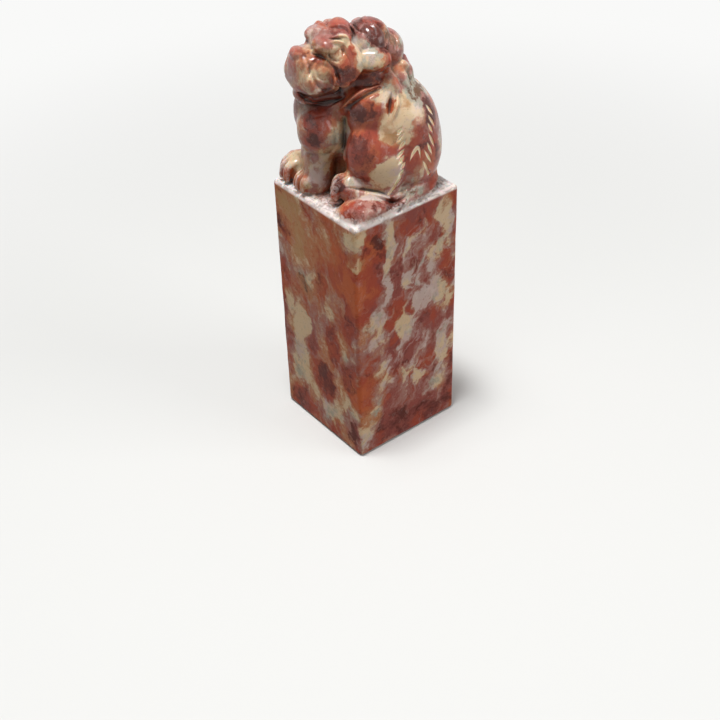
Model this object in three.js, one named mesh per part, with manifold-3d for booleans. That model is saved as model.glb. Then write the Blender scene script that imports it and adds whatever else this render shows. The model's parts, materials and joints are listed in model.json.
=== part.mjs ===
// A carved soapstone seal: a square column with a seal face under it and a seated guardian beast on top.
// Millimetres, +Z up. The origin is the middle of the seal face, on the plane that prints.
import * as THREE from "three";
import { mergeVertices } from "three/addons/utils/BufferGeometryUtils.js";
import Module from "manifold-3d";

const wasm = await Module();
wasm.setup();

// The stone block
const columnWidth = 25;
const columnHeight = 54;
const edgeRadius = 0.8;

// The beast stays this far inside the block's faces, and its neighbouring forms this far apart.
const carvingInset = 0.15;
const cutGap = 0.3;

// The seal face: a plate with a raised border round a cut-back ground and four square spirals
const facePlate = 3;
const reliefDepth = 0.8;
const borderWidth = 1.5;
const borderMargin = 1.4;
const barWidth = 1.3;
const spiral = [[0, 0], [3, 0], [3, 3], [0, 3], [0, 1], [2, 1], [2, 2], [1, 2]];
const spiralSpan = 7;

// The beast faces a corner of the block, and turns its head towards its left.
const beastTurn = THREE.MathUtils.degToRad(142);
const headTurn = THREE.MathUtils.degToRad(20);
const headReach = 1.6;
const headSide = 0.2;
const headHeight = 24.2;

// The beast fills the block, so these are set in from the block's corners: the middles of the ground rocks,
// of the haunches, feet and forepaws, and the flanks of its rump and back.
const cornerReach = columnWidth / Math.SQRT2;
const rockInset = 5.3;
const slopeInset = 8.1;
const footInset = 9.5;
const kneeInset = 10.9;
const thighInset = 11.7;
const rumpInset = 9.7;
const backInset = 10.1;
const pawInsetLeft = 8.7;
const pawInsetRight = 5.5;

// A form is a ball, with its middle, its half-length, half-width and half-height, and a tilt in degrees
// about its own X, Y and Z, or a limb, with its two ends and the radius at each. In the beast's frame X is
// forward, Y is its left and Z is up from the column's top. The head's frame sits in the middle of its skull,
// and the mane's has the same middle but doesn't turn with the head. A pair is given by its left one.
const groundRock = {
  top: { at: [0.5, cornerReach - rockInset, -0.6], half: [5, 3.8, 3.2], tilt: [0, 0, -8] },
  slope: { at: [-6.5, cornerReach - slopeInset, -0.4], half: [4.6, 2.4, 2], tilt: [0, 0, 35] },
};
const torso = {
  rump: { at: [-5.6, 0.6, 8], half: [8.8, cornerReach - rumpInset, 10.4] },
  back: { at: [-4.4, 0.6, 14.4], half: [8.2, cornerReach - backInset, 7.6] },
  chest: { at: [5, 0.2, 12.6], half: [7, 5.4, 6.6] },
};
const haunch = {
  thigh: { at: [-2.4, cornerReach - thighInset, 7.4], half: [5.8, 4.4, 7.6] },
  knee: { at: [0.2, cornerReach - kneeInset, 9.6], half: [3.4, 3.2, 5.2] },
};
const footSide = cornerReach - footInset;
const hindFoot = {
  sole: { from: [-4.4, footSide, 1.6], to: [3.2, footSide, 1.6], radii: [2.1, 1.9] },
  ball: { at: [3.6, footSide, 1.9], half: [2.5, 2.2, 2.1] },
  toes: { at: [5.2, footSide, 1.2], count: 3, spread: 2.6, radius: 0.9 },
};
const paws = {
  left: { at: [cornerReach - pawInsetLeft, 4.2, 2.2], half: [3, 2.8, 2.3] },
  right: { at: [cornerReach - pawInsetRight, -2, 2.6], half: [3, 2.7, 2.8] },
};
const pawToes = { ahead: 1.9, below: 0.9, count: 4, spread: 3.3, radius: 0.92 };
const shoulder = { at: [7.5, 3.4, 12.4], half: [4.4, 3.4, 5.4] };
const legRadii = [2.8, 2.3];
const legTop = [8, 3.6, 10];
const ankleFromPaw = { left: [-0.6, -0.6, 0.6], right: [-3.6, -1.2, 0.2] };
const tail = {
  root: { from: [-12.6, 1.6, 2.2], to: [-10.2, 5.4, 1.6], radii: [1.9, 1.8] },
  tip: { from: [-10.2, 5.4, 1.6], to: [-6.4, 8.6, 1.8], radii: [1.8, 1.5] },
};
const skull = {
  crown: { at: [-1.2, 0, 0], half: [7.2, 5.6, 6] },
  brow: { at: [3.7, 2.6, 4.3], half: [3.2, 2.5, 1.9], tilt: [0, -10, 20] },
  cheek: { at: [2.2, 4.2, -1.6], half: [2.2, 1.8, 2.8] },
};
const muzzle = {
  snout: { at: [7.6, 0, -0.6], half: [4.4, 4.6, 4.4] },
  nose: { at: [10, 0, 2.6], half: [2, 2.3, 1.6] },
  lip: { at: [8.2, 2.9, -2], half: [3.5, 2.3, 2.8] },
};
const lowerJaw = { at: [5.8, 0, -5.4], half: [4.8, 3.8, 1.7], tilt: [0, 4, 0] };
const ear = {
  base: { at: [1.5, 5.2, 1.8], half: [1.7, 1.4, 2.7] },
  blade: { at: [-1.8, 5.8, 1.6], half: [3.6, 1.8, 2.4], tilt: [0, -6, 0] },
};
const crest = {
  crest_front: { at: [1.6, 0, 6.2], half: [2.4, 3, 1.7] },
  crest_top: { at: [-2.7, 0.4, 4.6], half: [3.9, 4.2, 3.6] },
  crest_back: { at: [-6.4, 1, 2], half: [2.8, 3.6, 3.2] },
};
const collar = { at: [-3.2, 0.2, -4.6], half: [6.8, 5.8, 4.4] };
const maneLocks = {
  left: { from: [-6.2, 3.8, -3.6], to: [-9.6, 4.4, -7.6], radii: [2.4, 1.2] },
  middle: { from: [-7.2, 0.4, -3], to: [-11.2, 0.6, -7.4], radii: [2.4, 1.2] },
  right: { from: [-6.2, -3.2, -3.6], to: [-10, -3.8, -7.6], radii: [2.4, 1.2] },
};

// How finely a form is faceted: round it, and from end to end
const coarse = [9, 6];
const medium = [12, 8];
const fine = [16, 11];
const limbSides = 11;
const limbRings = 3;

// Turns a closed geometry into a solid that can be joined and cut.
function solidOf(geometry) {
  const bare = geometry.index ? geometry.toNonIndexed() : geometry.clone();
  bare.deleteAttribute("normal");
  bare.deleteAttribute("uv");
  const merged = mergeVertices(bare, 1e-4);
  return new wasm.Manifold(
    new wasm.Mesh({
      numProp: 3,
      vertProperties: merged.attributes.position.array,
      triVerts: new Uint32Array(merged.index.array),
    }),
  );
}

// Turns a solid back into a geometry for a mesh.
function geometryOf(solid) {
  const mesh = solid.getMesh();
  const positions = new Float32Array(mesh.numVert * 3);
  for (let i = 0; i < mesh.numVert; i++) {
    positions.set(mesh.vertProperties.subarray(i * mesh.numProp, i * mesh.numProp + 3), i * 3);
  }
  const geometry = new THREE.BufferGeometry();
  geometry.setAttribute("position", new THREE.BufferAttribute(positions, 3));
  geometry.setIndex(new THREE.BufferAttribute(mesh.triVerts, 1));
  geometry.computeVertexNormals();
  return geometry;
}

const join = (solids) => solids.reduce((a, b) => a.add(b));
const still = new THREE.Matrix4();

// Each form is made by a function of how much it is grown all round, so that its neighbours can be cut clear.
const together = (...forms) => (grow) => join(forms.map((form) => form(grow)));

function ball(frame, { at, half, tilt = [0, 0, 0] }, faces = medium) {
  return (grow) => {
    const place = new THREE.Matrix4().compose(
      new THREE.Vector3(...at),
      new THREE.Quaternion().setFromEuler(new THREE.Euler(...tilt.map(THREE.MathUtils.degToRad))),
      new THREE.Vector3(...half.map((size) => size + grow)),
    );
    return solidOf(new THREE.SphereGeometry(1, ...faces).applyMatrix4(place).applyMatrix4(frame));
  };
}

function limb(frame, { from, to, radii }) {
  return (grow) => {
    const start = new THREE.Vector3(...from);
    const along = new THREE.Vector3(...to).sub(start);
    const profile = [];
    for (const [radius, middle, sign] of [[radii[0] + grow, 0, -1], [radii[1] + grow, along.length(), 1]]) {
      const cap = [];
      for (let i = 0; i <= limbRings; i++) {
        const angle = (i / limbRings) * (Math.PI / 2);
        const across = i ? radius * Math.sin(angle) : 0;
        cap.push(new THREE.Vector2(across, middle + sign * radius * Math.cos(angle)));
      }
      profile.push(...(sign < 0 ? cap : cap.reverse()));
    }
    const lathe = new THREE.LatheGeometry(profile, limbSides);
    const upright = new THREE.Vector3(0, 1, 0);
    const turn = new THREE.Quaternion().setFromUnitVectors(upright, along.normalize());
    lathe.applyQuaternion(turn).translate(...from);
    return solidOf(lathe.applyMatrix4(frame));
  };
}

// Toes stand in a fan across the front of a paw, the outer ones further back.
function toes(frame, { at: [x, y, z], count, spread, radius }) {
  const made = [];
  for (let i = 0; i < count; i++) {
    const across = (i / (count - 1) - 0.5) * spread;
    const back = (across * across) / 8;
    const half = [radius * 1.5, radius, radius * 1.15];
    made.push(ball(frame, { at: [x - back, y + across, z], half }, coarse));
  }
  return together(...made);
}

// The other one of a pair, on the beast's right
const mirrorPoint = ([x, y, z]) => [x, -y, z];
const mirrorTilt = ([x, y, z]) => [-x, y, -z];
const mirrorLimb = ({ from, to, radii }) => ({ from: mirrorPoint(from), to: mirrorPoint(to), radii });
function mirrorBall({ at, half, tilt = [0, 0, 0] }) {
  return { at: mirrorPoint(at), half, tilt: mirrorTilt(tilt) };
}
const keep = (size) => size;
const sides = {
  left: { ball: keep, limb: keep, point: keep },
  right: { ball: mirrorBall, limb: mirrorLimb, point: mirrorPoint },
};

function box(width, depth, height, x, y, z) {
  return solidOf(new THREE.BoxGeometry(width, depth, height).translate(x, y, z));
}

// The stone before carving: a square prism with every edge rounded. Its corners are tiny arcs, which the
// bevel widens to the edges' radius.
function block() {
  const corner = columnWidth / 2 - edgeRadius;
  const shape = new THREE.Shape();
  const quarters = [[corner, corner], [-corner, corner], [-corner, -corner], [corner, -corner]];
  quarters.forEach(([x, y], i) => shape.absarc(x, y, 0.001, (i * Math.PI) / 2, ((i + 1) * Math.PI) / 2));
  const geometry = new THREE.ExtrudeGeometry(shape, {
    depth: columnHeight - 2 * edgeRadius,
    bevelThickness: edgeRadius,
    bevelSize: edgeRadius,
    bevelSegments: 3,
    curveSegments: 3,
  });
  return solidOf(geometry.translate(0, 0, edgeRadius));
}

// Four square spirals in relief, one to each quarter of the seal face
function spirals(recessWidth) {
  const pitch = (recessWidth - 2 * borderMargin - barWidth) / spiralSpan;
  const steps = spiral.map(([x, y]) => [(x + 0.5) * pitch, (y + 0.5) * pitch]);
  const bars = [];
  for (const signX of [-1, 1]) {
    for (const signY of [-1, 1]) {
      for (let i = 1; i < steps.length; i++) {
        const [fromX, fromY] = steps[i - 1];
        const [toX, toY] = steps[i];
        const width = Math.abs(toX - fromX) + barWidth;
        const depth = Math.abs(toY - fromY) + barWidth;
        const x = (signX * (fromX + toX)) / 2;
        const y = (signY * (fromY + toY)) / 2;
        bars.push(box(width, depth, reliefDepth, x, y, reliefDepth / 2));
      }
    }
  }
  return join(bars);
}

// The beast's forms, in the order that they are cut: each one is cut clear of the ones before it.
function beastForms() {
  return { ...rockForms(), ...headForms(), ...bodyForms(), ...legForms() };
}

function rockForms() {
  const forms = {};
  for (const [side, other] of Object.entries(sides)) {
    const lumps = Object.values(groundRock).map((rock) => ball(still, other.ball(rock)));
    forms["ground_rock_" + side] = together(...lumps);
  }
  return forms;
}

function headForms() {
  const neck = new THREE.Matrix4().setPosition(headReach, headSide, headHeight);
  const head = new THREE.Matrix4().makeRotationZ(headTurn).premultiply(neck);
  const pair = (size, faces) => Object.values(sides).map((side) => ball(head, side.ball(size), faces));
  const forms = {
    head: together(ball(head, skull.crown, fine), ...pair(skull.brow), ...pair(skull.cheek, coarse)),
    muzzle: together(ball(head, muzzle.snout, fine), ball(head, muzzle.nose, coarse), ...pair(muzzle.lip)),
    lower_jaw: ball(head, lowerJaw),
  };
  for (const [side, other] of Object.entries(sides)) {
    forms["ear_" + side] = together(
      ball(head, other.ball(ear.base), coarse),
      ball(head, other.ball(ear.blade)),
    );
  }
  for (const [name, size] of Object.entries(crest)) forms[name] = ball(head, size);
  const locks = Object.values(maneLocks).map((lock) => limb(neck, lock));
  forms.mane = together(ball(neck, collar, fine), ...locks);
  return forms;
}

function bodyForms() {
  return {
    torso: together(...Object.values(torso).map((size) => ball(still, size, fine))),
    tail: together(limb(still, tail.root), limb(still, tail.tip)),
  };
}

function legForms() {
  const forms = {};
  for (const [side, other] of Object.entries(sides)) {
    forms["haunch_" + side] = together(
      ball(still, other.ball(haunch.thigh), fine),
      ball(still, other.ball(haunch.knee)),
    );
    forms["hind_foot_" + side] = together(
      limb(still, other.limb(hindFoot.sole)),
      ball(still, other.ball(hindFoot.ball), coarse),
      toes(still, { ...hindFoot.toes, at: other.point(hindFoot.toes.at) }),
    );
    const paw = paws[side];
    const [x, y, z] = paw.at;
    const front = [x + pawToes.ahead, y, z - pawToes.below];
    forms["forepaw_" + side] = together(ball(still, paw, coarse), toes(still, { ...pawToes, at: front }));
    const ankle = paw.at.map((place, i) => place + ankleFromPaw[side][i]);
    forms["foreleg_" + side] = together(
      ball(still, other.ball(shoulder)),
      limb(still, { from: other.point(legTop), to: ankle, radii: legRadii }),
    );
  }
  return forms;
}

function add(group, name, solid, colour) {
  const material = new THREE.MeshStandardMaterial({ color: colour, roughness: 0.25, metalness: 0 });
  const mesh = new THREE.Mesh(geometryOf(solid), material);
  mesh.name = name;
  group.add(mesh);
}

// The column, and the seal face that is the bottom of the same stone
function addColumn(group) {
  const stone = block();
  const recessWidth = columnWidth - 2 * borderWidth;
  const lower = box(columnWidth * 2, columnWidth * 2, facePlate * 2, 0, 0, 0);
  const recess = box(recessWidth, recessWidth, reliefDepth * 2, 0, 0, 0);
  add(group, "seal_column", stone.subtract(lower), "#b08a78");
  add(group, "seal_face", stone.intersect(lower).subtract(recess.subtract(spirals(recessWidth))), "#a97c6c");
}

// The beast keeps within the block that it was cut from, and stands on the column's top.
function addBeast(group) {
  const across = columnWidth - 2 * carvingInset;
  const limits = new THREE.BoxGeometry(across, across, columnHeight);
  const inside = solidOf(limits.translate(0, 0, columnHeight / 2).rotateZ(-beastTurn));
  const earlier = [];
  for (const [name, form] of Object.entries(beastForms())) {
    const solid = earlier.reduce((rest, other) => rest.subtract(other), form(0).intersect(inside));
    add(group, name, solid, "#b5705c");
    earlier.push(form(cutGap));
  }
  group.rotation.z = beastTurn;
  group.position.z = columnHeight;
}

const beast = new THREE.Group();
addBeast(beast);
const seal = new THREE.Group();
addColumn(seal);
seal.add(beast);
export default seal;
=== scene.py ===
"""A soapstone seal: a square column with a guardian beast carved out of its top.

The beast is sculpted as a field of distances to the stone's surface: forms are joined to it and cut out of
it, grooves are pressed into it, and a skin is drawn where the distance is zero. The sculpture is measured in
millimetres from the middle of the column's top. The Blender objects are in metres.
"""
import json
import math

import bmesh
import bpy
import numpy as np
from mathutils import Matrix, Vector

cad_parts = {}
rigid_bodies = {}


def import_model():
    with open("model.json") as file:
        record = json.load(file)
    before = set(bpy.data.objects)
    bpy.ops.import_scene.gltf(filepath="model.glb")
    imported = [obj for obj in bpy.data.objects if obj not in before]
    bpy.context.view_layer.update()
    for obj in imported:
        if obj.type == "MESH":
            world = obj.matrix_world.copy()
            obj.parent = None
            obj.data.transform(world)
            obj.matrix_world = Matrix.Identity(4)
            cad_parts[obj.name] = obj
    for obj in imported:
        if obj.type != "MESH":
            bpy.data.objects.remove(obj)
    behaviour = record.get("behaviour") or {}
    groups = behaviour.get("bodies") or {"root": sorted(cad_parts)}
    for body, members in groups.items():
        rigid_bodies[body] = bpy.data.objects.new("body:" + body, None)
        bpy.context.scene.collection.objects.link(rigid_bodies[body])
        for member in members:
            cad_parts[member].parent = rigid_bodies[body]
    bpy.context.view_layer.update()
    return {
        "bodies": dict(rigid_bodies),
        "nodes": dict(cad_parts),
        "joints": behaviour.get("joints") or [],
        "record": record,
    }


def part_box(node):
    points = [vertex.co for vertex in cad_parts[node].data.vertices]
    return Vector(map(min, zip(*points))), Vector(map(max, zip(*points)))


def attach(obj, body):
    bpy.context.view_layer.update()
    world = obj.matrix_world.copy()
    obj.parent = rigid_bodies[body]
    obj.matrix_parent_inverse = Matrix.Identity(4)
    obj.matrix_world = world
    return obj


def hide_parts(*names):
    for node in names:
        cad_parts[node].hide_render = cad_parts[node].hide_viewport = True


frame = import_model()

MM = 0.001
column_low, column_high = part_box("seal_column")
COLUMN_WIDTH = round((column_high.x - column_low.x) / MM, 1)
COLUMN_TOP = round(column_high.z / MM, 1)
FACE_TOP = round(column_low.z / MM, 1)
EDGE_RADIUS, EDGE_WANDER, LEAST_RADIUS = 0.8, 0.16, 0.35
TOP_SLICE = 3.0
SEAM = COLUMN_TOP - TOP_SLICE

CELL = 0.16
NEAR_SURFACE = 1.5
FAR_FROM_SURFACE = 4.0
MOST_TRIANGLES = 196000

CAMERA_AZIMUTH, CAMERA_ELEVATION, CAMERA_ROLL = -37.42, 37.83, -1.87
CAMERA_AT = (-0.1257, -0.1610, 0.1701)
LENS, SENSOR_WIDTH = 61.8, 36

LEFT, RIGHT = 1, -1


class Frame:
    """A place to model in: an origin, and three axes as the columns of a matrix."""

    def __init__(self, origin, axes):
        self.origin = np.asarray(origin, float)
        self.axes = np.asarray(axes, float)

    def point(self, at):
        return self.origin + self.axes @ np.asarray(at, float)

    def inside(self, at, tilt=(0, 0, 0)):
        return Frame(self.point(at), self.axes @ turned(tilt))

    def local(self, x, y, z):
        """Coordinates in this place, from those in the block."""
        x, y, z = x - self.origin[0], y - self.origin[1], z - self.origin[2]
        return [axis[0] * x + axis[1] * y + axis[2] * z for axis in self.axes.T]

    def mirrored(self, side):
        """The same place for the left side, and its mirror image for the right side."""
        return Frame(self.origin, self.axes * (1, side, 1))


def turned(tilt):
    """A rotation about X, then Y, then Z, in degrees."""
    a, b, c = (math.radians(t) for t in tilt)
    about_x = np.array([[1, 0, 0], [0, math.cos(a), -math.sin(a)], [0, math.sin(a), math.cos(a)]])
    about_y = np.array([[math.cos(b), 0, math.sin(b)], [0, 1, 0], [-math.sin(b), 0, math.cos(b)]])
    about_z = np.array([[math.cos(c), -math.sin(c), 0], [math.sin(c), math.cos(c), 0], [0, 0, 1]])
    return about_z @ about_y @ about_x


def camera_axes():
    """The camera's right, up and backward directions, as the columns of a matrix."""
    azimuth, elevation, roll = (math.radians(a) for a in (CAMERA_AZIMUTH, CAMERA_ELEVATION, CAMERA_ROLL))
    level = np.array([math.cos(azimuth), math.sin(azimuth), 0])
    ahead = np.array([math.sin(azimuth), -math.cos(azimuth), 0])
    back = math.cos(elevation) * ahead + np.array([0, 0, math.sin(elevation)])
    upright = np.cross(back, level)
    right = math.cos(roll) * level + math.sin(roll) * upright
    up = math.cos(roll) * upright - math.sin(roll) * level
    return np.column_stack([right, up, back])


BLOCK = Frame((0, 0, 0), np.eye(3))
BODY = BLOCK.inside((0, 0, 0), (0, 0, 142))
HEAD = BODY.inside((1.6, 0.2, 24.2), (0, 0, 20))
NECK = Frame(HEAD.origin, BODY.axes)


def view(place, side):
    """A frame that looks at one side of a form: X to the beast's front, Y up the picture, Z out to the eye.

    It sees the left side as the camera does, and the right side as its mirror image.
    """
    seen = np.round(place.axes.T @ camera_axes() * (-1, 1, 1), 4)
    return Frame(place.origin, place.mirrored(side).axes @ seen)


def joined(a, b, blend):
    """The lesser of two distances, with a fillet where they are alike."""
    near = np.maximum(blend - np.abs(a - b), 0) / blend
    return np.minimum(a, b) - near * near * blend / 4


class Stone:
    """Distances to the stone's surface, in millimetres, on a regular grid: below zero is stone."""

    def __init__(self, low, high, cell):
        self.cell = cell
        self.low = np.asarray(low, float)
        self.axes = [np.arange(a, b + cell, cell, dtype=np.float32) for a, b in zip(low, high)]
        self.depth = np.full([len(a) for a in self.axes], FAR_FROM_SURFACE, np.float32)
        # where grooves are painted pale, as fresh cuts and as a painted highlight
        self.fresh_and_lit_marks = np.zeros_like(self.depth)

    def patch(self, low, high, margin):
        """The part of the grid round a box, as slices and as its X, Y and Z."""
        cuts = []
        for axis, a, b in zip(self.axes, low, high):
            start = max(0, int((a - margin - axis[0]) / self.cell))
            stop = min(len(axis), int((b + margin - axis[0]) / self.cell) + 2)
            cuts.append(slice(start, max(start, stop)))
        x, y, z = (axis[cut] for axis, cut in zip(self.axes, cuts))
        return tuple(cuts), (x[:, None, None], y[None, :, None], z[None, None, :])

    def add(self, form, blend):
        """Joins a form to the stone, with a fillet."""
        cuts, places = self.patch(form.low, form.high, blend + 2 * self.cell)
        self.depth[cuts] = joined(self.depth[cuts], form.distance(*places), blend)

    def cut(self, form, blend):
        """Cuts a form out of the stone, with a rounded lip."""
        cuts, places = self.patch(form.low, form.high, blend + 2 * self.cell)
        self.depth[cuts] = -joined(-self.depth[cuts], form.distance(*places), blend)

    def score(self, form, width, depth, sharp, fresh_and_lit=0.0):
        """Presses a groove of that width and depth along a line. A depth below zero raises a welt."""
        cuts, places = self.patch(form.low, form.high, width)
        close = np.nonzero(np.abs(self.depth[cuts]) < NEAR_SURFACE)
        x, y, z = (place.ravel()[spots] for place, spots in zip(places, close))
        across = np.clip(1 - form.distance(x, y, z) / width, 0, 1)
        smooth = across * across * (3 - 2 * across)
        self.depth[cuts][close] += depth * (sharp * across + (1 - sharp) * smooth)
        # marks the groove to be painted pale, as a fresh cut and as a painted highlight
        if fresh_and_lit:
            self.fresh_and_lit_marks[cuts][close] = np.maximum(self.fresh_and_lit_marks[cuts][close], fresh_and_lit * across)

    def keep_within(self, half_width, blend):
        """Cuts the stone back to the faces of the block that it was carved from."""
        x, y = np.abs(self.axes[0])[:, None, None], np.abs(self.axes[1])[None, :, None]
        for side in (x, y):
            self.depth = -joined(-self.depth, half_width - side, blend)

    def roughen(self, size, amount, seed):
        """Adds soft lumps of that size, the unevenness of hand work. They fade out below the column's top."""
        dice = np.random.default_rng(seed)
        grid = dice.normal(size=[int(np.ptp(a) / size) + 4 for a in self.axes])
        for turn, axis in enumerate(self.axes):
            at = (axis - axis[0]) / size + 1
            cell = at.astype(int)
            shape = [1, 1, 1]
            shape[turn] = -1
            t = (at - cell).reshape(shape)
            a, b, c, d = (np.take(grid, cell + k, axis=turn) for k in (-1, 0, 1, 2))
            grid = ((1 - t) ** 3 * a + (3 * t**3 - 6 * t**2 + 4) * b
                    + (-3 * t**3 + 3 * t**2 + 3 * t + 1) * c + t**3 * d) / 6
        fade = np.clip((self.axes[2] + 2.0) / 2.5, 0, 1)
        self.depth += (amount * grid * fade[None, None, :]).astype(np.float32)


class Ball:
    """An ellipsoid: its middle, half-sizes and tilt in a frame. A power over 2 makes it squarer."""

    def __init__(self, frame, at, half, power=2, tilt=(0, 0, 0)):
        self.place = frame.inside(at, tilt)
        self.half, self.power = np.asarray(half, float), power
        reach = np.sqrt(((self.place.axes * self.half) ** 2).sum(axis=1)) * (1 if power == 2 else 1.3)
        self.low, self.high = self.place.origin - reach, self.place.origin + reach

    def distance(self, x, y, z):
        near = far = 0
        for local, half in zip(self.place.local(x, y, z), self.half):
            along = np.abs(local) / half
            near = near + along**self.power
            far = far + (along ** (self.power - 1) / half) ** 2
        reach = near ** (1 / self.power)
        slope = np.sqrt(np.maximum(far, 1e-9)) / np.maximum(near, 1e-9) ** (1 - 1 / self.power)
        return ((reach - 1) / np.maximum(slope, 1e-6)).astype(np.float32)


class Rope:
    """A round bar along a smooth path through points in a frame, with a radius at each point.

    With through, its path is measured as it is seen along the frame's Z, between two heights there.
    """

    def __init__(self, frame, points, radii, through=None):
        self.frame, self.through = frame, through
        self.path = smooth_path(np.column_stack([np.asarray(points, float), radii]))
        reach = self.path[:, 3].max()
        corners = self.path[:, :3].copy()
        if through:
            corners = np.concatenate([corners, corners])
            corners[: len(self.path), 2], corners[len(self.path) :, 2] = through
        world = np.array([frame.point(p) for p in corners])
        self.low, self.high = world.min(axis=0) - reach, world.max(axis=0) + reach

    def distance(self, x, y, z):
        local = self.frame.local(x, y, z)
        measured = (0, 1) if self.through else (0, 1, 2)
        best = None
        for start, end in zip(self.path[:-1], self.path[1:]):
            step = [end[i] - start[i] for i in measured]
            gone = [local[i] - start[i] for i in measured]
            length = math.sqrt(max(sum(s * s for s in step), 1e-9))
            along = sum(g * s for g, s in zip(gone, step)) / length
            across = np.sqrt(np.maximum(sum(g * g for g in gone) - along * along, 0))
            lean = min(max((end[3] - start[3]) / length, -0.9), 0.9)
            share = np.clip((along + across * lean / math.sqrt(1 - lean * lean)) / length, 0, 1)
            off = sum((g - share * s) ** 2 for g, s in zip(gone, step))
            d = np.sqrt(off) - (start[3] + share * (end[3] - start[3]))
            best = d if best is None else np.minimum(best, d)
        if self.through:
            low, high = self.through
            best = np.maximum(best, np.maximum(low - local[2], local[2] - high))
        return best.astype(np.float32)


def smooth_path(points, steps=5):
    """A Catmull-Rom curve through the points, with that many steps from each to the next."""
    if len(points) < 3:
        return points
    ends = np.vstack([2 * points[0] - points[1], points, 2 * points[-1] - points[-2]])
    out = []
    for a, b, c, d in zip(ends[:-3], ends[1:-2], ends[2:-1], ends[3:]):
        for t in np.arange(steps) / steps:
            out.append(0.5 * (2 * b + (c - a) * t + (2 * a - 5 * b + 4 * c - d) * t**2
                              + (3 * b - a - 3 * c + d) * t**3))
    out.append(points[-1])
    return np.array(out)


class Slab:
    """The top of the column: a square block with rounded edges, reaching down out of the grid."""

    def __init__(self, width, radius):
        self.half, self.radius = width / 2 - radius, radius
        self.low, self.high = np.array([-width, -width, -20.0]) / 2, np.array([width, width, 0.0]) / 2

    def distance(self, x, y, z):
        x, y, z = np.abs(x) - self.half, np.abs(y) - self.half, z + self.radius
        outside = np.sqrt(np.maximum(x, 0) ** 2 + np.maximum(y, 0) ** 2 + np.maximum(z, 0) ** 2)
        inside = np.minimum(np.maximum(np.maximum(x, y), z), 0)
        return (outside + inside - self.radius).astype(np.float32)


def join(stone, place, *rows):
    """Joins ellipsoids to the stone: middle, half-sizes and fillet, then power and tilt where they differ."""
    for at, half, blend, *more in rows:
        stone.add(Ball(place, at, half, *more), blend)


def line(stone, place, path, width, depth, sharp=0.6, low=0.0, high=30.0, fresh_and_lit=0.0):
    """Presses a groove, or raises a welt with a depth below zero, whose ends run out."""
    path = [np.array((*at, 0.0)) for at in path]
    if len(path) == 2:
        path.insert(1, (path[0] + path[1]) / 2)
    end = -width * 0.8
    radii = [end] + [0.0] * (len(path) - 2) + [end]
    stone.score(Rope(place, path, radii, through=(low, high)), width, depth, sharp, fresh_and_lit)


def draw(stone, place, *rows, **how):
    """Draws lines on the side that the frame looks at, each with its points, width and depth."""
    for path, width, depth in rows:
        line(stone, place, path, width, depth, **how)


def carve_body(stone):
    join(stone, BODY,
         ((-5.4, 0.4, 8), (9.0, 8.3, 10.4), 0.8),
         ((-4.6, 0.4, 14.2), (8.0, 7.6, 7.6), 3),
         ((4.6, 0.2, 12.6), (7, 5.4, 6.6), 2.5),
         ((8.4, -0.4, 14.8), (4.3, 4.0, 4.8), 1.2),
         ((2.5, 0.2, 19), (5, 4.5, 4), 2.5),
         ((4.0, -0.6, 5), (6.2, 3.4, 7), 1.0, 3),
         ((9.0, -0.2, 5.5), (2.8, 3.8, 6), 0.8))
    for side in (LEFT, RIGHT):
        join(stone, BODY.mirrored(side), ((-0.9, 4.5, 17.4), (4.7, 3.7, 4.9), 0.7))


def carve_haunch(stone, side):
    body = BODY.mirrored(side)
    join(stone, body,
         ((-2.4, 6, 7.4), (5.8, 4.4, 7.6), 0.7),
         ((-0.1, 6.9, 9.6), (3.4, 3.2, 5.3), 1.2))
    foot = ((-5.2, 8.4, 1.6), (-1.0, 9.2, 2.0), (2.4, 8.6, 2.6))
    stone.add(Rope(body, foot, (1.6, 1.9, 2.0)), 0.7)
    join(stone, body, ((2.8, 8.0, 3.8), (2.6, 2.5, 2.5), 0.8))
    for across in (-1.35, 0, 1.35):
        toe = ((3.2, 8.0 + across * 0.8, 5.2), (4.8, 7.9 + across, 4.2), (5.5, 7.9 + across * 1.05, 2.2))
        stone.add(Rope(body, toe, (0.7, 0.9, 0.8)), 0.1)
    for across in (-0.68, 0.68):
        gap = ((2.6, 8.0 + across * 0.8, 0), (4.4, 7.9 + across, 0), (6.6, 7.9 + across, 0))
        stone.score(Rope(body, gap, (-0.35, 0.0, 0.0), through=(0.8, 7)), 0.45, 0.6, 0.7)


def carve_foreleg(stone, side, paw, ankle):
    join(stone, BODY.mirrored(side), ((7.6, 3.2, 12.8), (4.4, 3.7, 4.7), 1.0, 2.3))
    stone.add(Rope(BODY, ((8, 3.4 * side, 9), ankle), (2.8, 2.7)), 0.8)
    x, y, z = paw
    join(stone, BODY, (paw, (2.8, 2.7, z), 0.8, 2.5))
    for i in range(4):
        across = (i - 1.5) * 1.4
        back = across * across / 7
        toe = ((x + 0.2 - back, y + across * 0.75, z * 1.6),
               (x + 2.4 - back, y + across, z * 1.25),
               (x + 3.2 - back, y + across * 1.05, 1.3))
        stone.add(Rope(BODY, toe, (0.7, 0.95, 0.85)), 0.25)
    for across in (-1.4, 0, 1.4):
        gap = ((x + 1.2, y + across * 0.8, 0),
               (x + 2.4, y + across * 0.95, 0),
               (x + 4.2, y + across * 1.1, 0))
        stone.score(Rope(BODY, gap, (-0.35, 0.0, 0.0), through=(0.4, z * 2)), 0.45, 0.3, 0.7)


def carve_tail(stone):
    curl = ((-12.2, 1.2, 2.6), (-11.2, 4.0, 2.2), (-9.0, 7.0, 2.0), (-5.4, 9.4, 1.6))
    for lift, out, size in ((0, 0, 1.0), (0.9, -0.7, 0.8), (-0.9, 0.7, 0.8)):
        path = [(x - out * 0.6, y + out, z + lift) for x, y, z in curl]
        stone.add(Rope(BODY, path, (1.3 * size, 1.4 * size, 1.2 * size, 0.5)), 0.3)


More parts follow.
